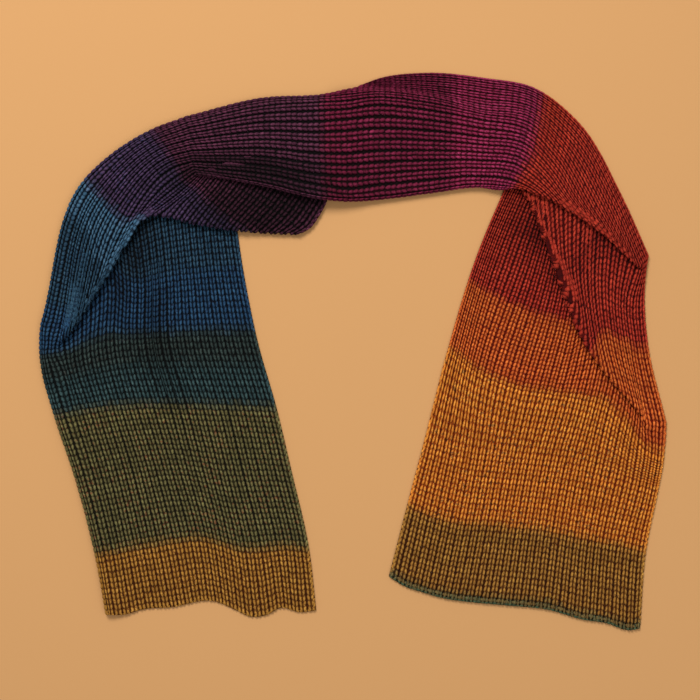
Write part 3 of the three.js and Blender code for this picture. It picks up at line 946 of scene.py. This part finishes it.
# Camera
VIEW_WIDTH = 0.7
LENS = 80
SENSOR = 36
CLOTH_TOP = 0.006
HALF_BOARD = 350


def make_mesh(name, points, faces, facts=None, smooth=True):
    """A mesh object from points and faces, with one number for each point and fact."""
    mesh = bpy.data.meshes.new(name)
    mesh.from_pydata(points.tolist(), [], faces.tolist() if isinstance(faces, np.ndarray) else faces)
    for fact, values in (facts or {}).items():
        numbers = values.ravel().astype(np.float32)
        mesh.attributes.new(fact, "FLOAT", "POINT").data.foreach_set("value", numbers)
    mesh.polygons.foreach_set("use_smooth", [smooth] * len(mesh.polygons))
    piece = bpy.data.objects.new(name, mesh)
    bpy.context.scene.collection.objects.link(piece)
    return piece


def base_cloth():
    """The closed cloth below the stitches, with its ribs in low relief."""
    halves = np.arange(2 * KNIT_RIBS + 1)
    each_half = slice(None, None, PARTS_OF_A_RIB // 2)
    rib, station = np.meshgrid(halves / 2, np.arange(len(GRID)))
    row = GRID_ROWS[:, each_half]
    slanted = SQUARENESS[:, each_half] < LEAST_SQUARENESS
    relief = np.where(halves % 2, BASE_CREST, BASE_GROOVE) - trough(rib, row) + SLANTED_LIFT * slanted
    right_side = on_grid(rib, station.astype(float), relief)
    lifted = GRID[:, each_half, 2] > LIFTED
    wrong = np.where(lifted, LIFTED_THIN, 1) * np.where(halves % 2, BASE_WRONG_CREST, BASE_WRONG_SIDE)
    wrong_side = on_grid(rib, station.astype(float), -wrong - trough(rib, row) * lifted)
    count, wide = rib.shape
    index = np.arange(count * wide).reshape(count, wide)
    under = index + count * wide

    def quads(a, b, c, d):
        return np.stack([a.ravel(), b.ravel(), c.ravel(), d.ravel()], 1)

    faces = [
        quads(index[:-1, :-1], index[:-1, 1:], index[1:, 1:], index[1:, :-1]),
        quads(under[:-1, :-1], under[1:, :-1], under[1:, 1:], under[:-1, 1:]),
        quads(index[:-1, 0], index[1:, 0], under[1:, 0], under[:-1, 0]),
        quads(index[:-1, -1], under[:-1, -1], under[1:, -1], index[1:, -1]),
        quads(index[0, :-1], under[0, :-1], under[0, 1:], index[0, 1:]),
        quads(index[-1, :-1], index[-1, 1:], under[-1, 1:], under[-1, :-1]),
    ]
    points = np.concatenate([right_side.reshape(-1, 3), wrong_side.reshape(-1, 3)])
    # Painted shade: the base cloth is coloured darker than the yarn above it, as if in shade below the
    # stitches. It is darkest in its grooves, where it sinks in troughs and in the painted hollows. It is less
    # dark where the ribs run slanted and on its wrong side.
    top = np.where(halves % 2, 0.9, 1.05 + 0.3 * trough(rib, row)) + painted_hollow_shade(rib, row)
    painted_shade = np.concatenate([np.clip(np.where(slanted, 0.3, top), 0, 1.45), 0.3 + 0 * row])
    facts = {"row": np.tile(row, (2, 1)), "tone": np.zeros(2 * rib.size), "painted_shade": painted_shade}
    facts["rib"] = np.tile(rib, (2, 1))
    return make_mesh("scarf_cloth", points, np.concatenate(faces), facts)


def ball(segments, rings):
    """The points and faces of a ball with its poles on the Y axis."""
    bpy.ops.object.select_all(action="DESELECT")
    bpy.ops.mesh.primitive_uv_sphere_add(segments=segments, ring_count=rings, rotation=(math.pi / 2, 0, 0))
    model = bpy.context.object
    bpy.ops.object.transform_apply(location=False, rotation=True, scale=False)
    points = np.array([v.co[:] for v in model.data.vertices])
    faces = [list(p.vertices) for p in model.data.polygons]
    bpy.data.objects.remove(model)
    return points, faces


def copies(name, model, made, facts):
    """One mesh with a copy of a ball at each set of points."""
    points, faces = model
    all_faces = [[v + i * len(points) for v in face] for i in range(len(made)) for face in faces]
    whole = {fact: np.broadcast_to(values, made.shape[:2]) for fact, values in facts.items()}
    return make_mesh(name, made.reshape(-1, 3), all_faces, whole)


def stiff(rib, row, shape):
    """Points of a shape in millimetres, set square on the cloth along its rib."""
    along = unit(on_cloth(rib, row + 0.5, 0) - on_cloth(rib, row - 0.5, 0))
    up = unit(on_cloth(rib, row, 1) - on_cloth(rib, row, 0))
    across = np.cross(along, up)
    spread = shape[..., :1] * across + shape[..., 1:2] * along + shape[..., 2:] * up
    return on_cloth(rib, row, LEG_MIDDLE) + MM * spread


def column(values):
    return np.asarray(values, float)[:, None]


def stitches(name, first_row, last_row):
    """The knit stitches of the right side between two rows: two legs of yarn each, as one mesh."""
    model = ball(5, 5)
    points = model[0]
    ribs = np.arange(KNIT_RIBS) + 0.5
    rows = np.arange(math.ceil(first_row), math.ceil(last_row)) + 0.5
    rib, row = (v.ravel() for v in np.meshgrid(ribs, rows, indexing="ij"))
    slanted = square_at(rib, row) < LEAST_SQUARENESS
    for offset, least in FILLERS:
        between, at_row = (v.ravel() for v in np.meshgrid(ribs[:-1] + 0.5 + offset, rows, indexing="ij"))
        gap = length(on_cloth(between + 0.5, at_row, 0) - on_cloth(between - 0.5, at_row, 0))[:, 0]
        wide = gap > least * MM
        rib, row = np.append(rib, between[wide]), np.append(row, at_row[wide])
        slanted = np.append(slanted, wide[wide])
    slanted = slanted.repeat(2)
    rib, row = column(rib.repeat(2)), column(row.repeat(2))
    side = column(np.tile([-1.0, 1.0], len(rib) // 2))
    stitch = random.normal(0, 1, (rib.size // 2, 3)).repeat(2, 0)
    leg = random.normal(0, 1, (rib.size, 2))
    painted_dark = painted_hollow_shade(rib, row)
    a = points[:, 1]
    spine = LEG_FOOT + (LEG_SHOULDER - LEG_FOOT) * (a + 1) / 2
    width = LEG_HALF_WIDTH * (1 + LEG_TAPER * a)
    pull = LEG_PULL * trough(rib + side / 2, row)
    place_rib = rib + side * (spine - pull) + points[:, 0] * width + 0.012 * stitch[:, :1]
    place_row = row + a * LEG_HALF_LENGTH + 0.04 * stitch[:, 1:2] + 0.03 * leg[:, :1]
    height = LEG_MIDDLE * (1 - 0.7 * a * a) - 0.2 * a + points[:, 2] * LEG_HALF_HEIGHT + 0.06 * leg[:, 1:]
    # Painted shade: each leg is coloured darker on its lower side and towards its two ends, where it tucks
    # under the next stitch. It is darker still in the painted hollows.
    painted_shade = np.clip(0.42 - 0.75 * points[:, 2] + 0.5 * a * a, 0, 1)
    painted_shade = np.clip(painted_shade * (1 - 0.4 * painted_dark) + painted_dark, 0, 1.45)
    facts = {"row": row, "rib": rib, "tone": 0.6 * stitch[:, 2:] + 0.6 * leg[:, :1], "painted_shade": painted_shade}
    made = on_cloth(place_rib, place_row, height)
    if slanted.any():
        shape = STIFF_LEG * (points + [1, 0, 0] * side[slanted, :, None])
        made[slanted] = stiff(rib[slanted], row[slanted], shape)
    return copies(name, model, made, facts)


def edges():
    """The bobbles of the two ends and of both selvedges, as one mesh."""
    model = ball(6, 5)
    points = model[0]
    ends = np.arange(0.25, KNIT_RIBS, 0.5)
    sides = np.arange(1.0, ROWS - 1, 1.0)
    # Their ribs and rows, half width in ribs, half length in rows and half height in millimetres
    kinds = [
        (ends, np.full(ends.size, ROWS - 0.15), 0.27, 0.36, 1.5),
        (ends[1::2], np.full(ends[1::2].size, ROWS - 0.75), 0.42, 0.34, 1.3),
        (ends, np.full(ends.size, 0.2), 0.24, 0.3, 1.25),
        (np.full(sides.size, 0.12), sides, 0.2, 0.46, 1.2),
        (np.full(sides.size, KNIT_RIBS - 0.12), sides, 0.2, 0.46, 1.2),
    ]
    rib, row, wide, long, high = (
        column(np.concatenate([np.broadcast_to(kind[k], kind[0].shape) for kind in kinds])) for k in range(5)
    )
    loose = random.normal(0, 1, (rib.size, 4))
    place_rib = rib + points[:, 0] * wide * (1 + 0.12 * loose[:, :1])
    place_row = np.clip(row + points[:, 1] * long + 0.08 * loose[:, 1:2], 0, ROWS)
    height = 0.1 + points[:, 2] * high * (1 + 0.1 * loose[:, 2:3]) + 0 * rib
    # Painted shade: each bobble is coloured darker on its lower side.
    painted_shade = np.clip(0.35 - 0.6 * points[:, 2], 0, 1)
    facts = {"row": row, "rib": rib, "tone": loose[:, 3:], "painted_shade": painted_shade[None]}
    return copies("edge_bobbles", model, on_cloth(place_rib, place_row, height), facts)


class Shade:
    """An output in a material's nodes, with the signs of arithmetic."""

    def __init__(self, paint, socket):
        self.paint, self.socket = paint, socket

    def maths(self, operation, *others, clamped=False):
        settings = {"operation": operation, "use_clamp": clamped}
        return self.paint.node("ShaderNodeMath", settings, dict(enumerate((self, *others))))

    def __add__(self, other):
        return self.maths("ADD", other)

    def __sub__(self, other):
        return self.maths("SUBTRACT", other)

    def __mul__(self, other):
        return self.maths("MULTIPLY", other)

    def __truediv__(self, other):
        return self.maths("DIVIDE", other)

    def rise(self, low, high):
        """0 below the low value, 1 above the high one and straight between them."""
        return ((self - low) / (high - low)).maths("ADD", 0, clamped=True)

    def mixed(self, other, share):
        """This colour, with a share of the other one."""
        settings = {"data_type": "RGBA", "blend_type": "MIX"}
        return self.paint.node("ShaderNodeMix", settings, {0: share, 6: self, 7: other}, 2)

    def times(self, other):
        """This colour seen through the other one."""
        settings = {"operation": "MULTIPLY"}
        return self.paint.node("ShaderNodeVectorMath", settings, {0: self, 1: other})

    def scaled(self, amount):
        """This colour, made lighter or darker."""
        settings = {"operation": "SCALE"}
        return self.paint.node("ShaderNodeVectorMath", settings, {0: self, 3: amount})


class Paint:
    """The node tree of a new material."""

    def __init__(self, name):
        self.material = bpy.data.materials.new(name)
        self.material.use_nodes = True
        self.tree = self.material.node_tree
        self.surface = self.tree.nodes["Principled BSDF"]

    def node(self, kind, settings=None, inputs=None, output=0):
        """A node with its settings and its inputs, which are constants or outputs of other nodes."""
        made = self.tree.nodes.new(kind)
        for name, value in (settings or {}).items():
            setattr(made, name, value)
        for place, value in (inputs or {}).items():
            if isinstance(value, Shade):
                self.tree.links.new(value.socket, made.inputs[place])
            else:
                made.inputs[place].default_value = value
        return Shade(self, made.outputs[output])

    def fact(self, name):
        return self.node("ShaderNodeAttribute", {"attribute_name": name}, {}, "Fac")

    def noise(self, place, scale, detail=2.0):
        inputs = {"Vector": place, "Scale": scale, "Detail": detail, "Roughness": 0.6}
        return self.node("ShaderNodeTexNoise", {}, inputs, "Fac")

    def ramp(self, share, stops):
        """A colour ramp through stops: place and colour."""
        made = self.node("ShaderNodeValToRGB", {}, {0: share})
        elements = made.socket.node.color_ramp.elements
        for k, (place, colour) in enumerate(stops):
            element = elements[k] if k < 2 else elements.new(place)
            element.position = place
            element.color = (*colour, 1)
        return made

    def put(self, place, value):
        if isinstance(value, Shade):
            self.tree.links.new(value.socket, self.surface.inputs[place])
        else:
            self.surface.inputs[place].default_value = value


def linear(colour):
    """A screen colour of 0 to 255 as light."""
    return tuple(((v / 255 + 0.055) / 1.055) ** 2.4 for v in colour)


def stripe_stops(kind):
    """The stops of one colour of all the stripes, with short blends between the stripes."""
    stops = []
    start = 0
    for band_of_colour in STRIPES:
        colour = linear(band_of_colour[kind])
        end = band_of_colour["ends"]
        stops.append(((start + STRIPE_BLEND) / ROWS if start else 0, colour))
        stops.append(((end - STRIPE_BLEND) / ROWS if end < ROWS else 1, colour))
        start = end
    return stops


def wool_material():
    """Heathered wool yarn: stripes by the row, a lighter strand, flecks, and painted shade that makes it
    darker towards the grooves and in the hollows.
    """
    paint = Paint("wool")
    place = paint.node("ShaderNodeTexCoord", {}, {}, "Object")
    row, tone, painted_shade = paint.fact("row"), paint.fact("tone"), paint.fact("painted_shade")
    strand = paint.noise(place, 330, 3)
    speckle = paint.noise(place, 760, 2)
    cloud = paint.noise(place, 38, 2)
    fibre = paint.noise(place, 2100, 2)
    share = (row + (strand - 0.5) * 1.6 + tone * 0.25) / ROWS
    main = paint.ramp(share, stripe_stops("main"))
    light = paint.ramp(share, stripe_stops("light"))
    fleck = paint.ramp(share, stripe_stops("fleck"))
    heather = (speckle.rise(0.42, 0.66) * 0.75 + tone * 0.12).maths("ADD", 0, clamped=True)
    flecks = (strand + cloud * 0.25 + tone * 0.02).rise(0.70, 0.76) * 0.75
    by_row = {"W": row * 0.33, "Detail": 1.0}
    bands = paint.node("ShaderNodeTexNoise", {"noise_dimensions": "1D"}, by_row, "Fac")
    tone_and_painted_shade = (tone * 0.07 + 1.0) * ((bands - 0.5) * 0.45 + 1.0) * ((cloud - 0.5) * 0.5 + 1.0)
    # Painted shade: the brightness also falls with the painted shade fact, towards the grooves and in the
    # hollows.
    tone_and_painted_shade = tone_and_painted_shade * ((fibre - 0.5) * 0.6 + 1.0) * (painted_shade * -0.6 + 1.0)
    yarn = main.mixed(light, heather).mixed(fleck, flecks)
    # Painted shade: where the painted shade fact is high, the yarn is seen through its own main colour, darker
    # and deeper in hue.
    paint.put("Base Color", yarn.mixed(yarn.times(main), painted_shade * 0.95).scaled(tone_and_painted_shade))
    paint.put("Roughness", 0.95)
    paint.put("Specular IOR Level", 0.15)
    fuzz = {"Strength": 0.5, "Distance": 0.0005, "Height": fibre}
    paint.put("Normal", paint.node("ShaderNodeBump", {}, fuzz, "Normal"))
    return paint.material


# Camera straight above the middle of the layout board
camera_data = bpy.data.cameras.new("camera")
camera_data.lens = LENS
camera_data.sensor_width = SENSOR
camera = bpy.data.objects.new("camera", camera_data)
camera.location = (
    (HALF_BOARD - BOARD_ORIGIN[0]) * MM,
    (BOARD_ORIGIN[1] - HALF_BOARD) * MM,
    VIEW_WIDTH * LENS / SENSOR + CLOTH_TOP,
)
bpy.context.scene.collection.objects.link(camera)
bpy.context.scene.camera = camera

wool = wool_material()
cloth = base_cloth()
parts = np.linspace(0, ROWS, STITCH_PIECES + 1)
knitted = [stitches(f"stitches_{k + 1}", parts[k], parts[k + 1]) for k in range(STITCH_PIECES)]
pieces = [cloth, *knitted, edges()]
for piece in pieces:
    piece.data.materials.append(wool)
    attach(piece, "root")
    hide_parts("scarf")


def floor():
    bpy.ops.object.select_all(action="DESELECT")
    bpy.ops.mesh.primitive_plane_add(size=8)
    plane = bpy.context.object
    plane.name = "floor"
    paint = Paint("peach floor")
    paint.put("Base Color", (*linear((193, 143, 90)), 1))
    paint.put("Roughness", 1.0)
    plane.data.materials.append(paint.material)


def area_light(name, place, size, power):
    data = bpy.data.lights.new(name, "AREA")
    data.energy = power
    data.size = size
    light = bpy.data.objects.new(name, data)
    light.location = place
    light.rotation_euler = (-Vector(place)).to_track_quat("-Z", "Y").to_euler()
    bpy.context.scene.collection.objects.link(light)


floor()
area_light("key", (-0.7, 1.5, 1.9), 1.0, 60)
area_light("fill", (1.2, -0.9, 2.4), 2.0, 22)
world = bpy.data.worlds.new("world")
world.use_nodes = True
world.node_tree.nodes["Background"].inputs["Color"].default_value = (1, 1, 1, 1)
world.node_tree.nodes["Background"].inputs["Strength"].default_value = 0.4
bpy.context.scene.world = world
bpy.context.scene.view_settings.view_transform = "Standard"
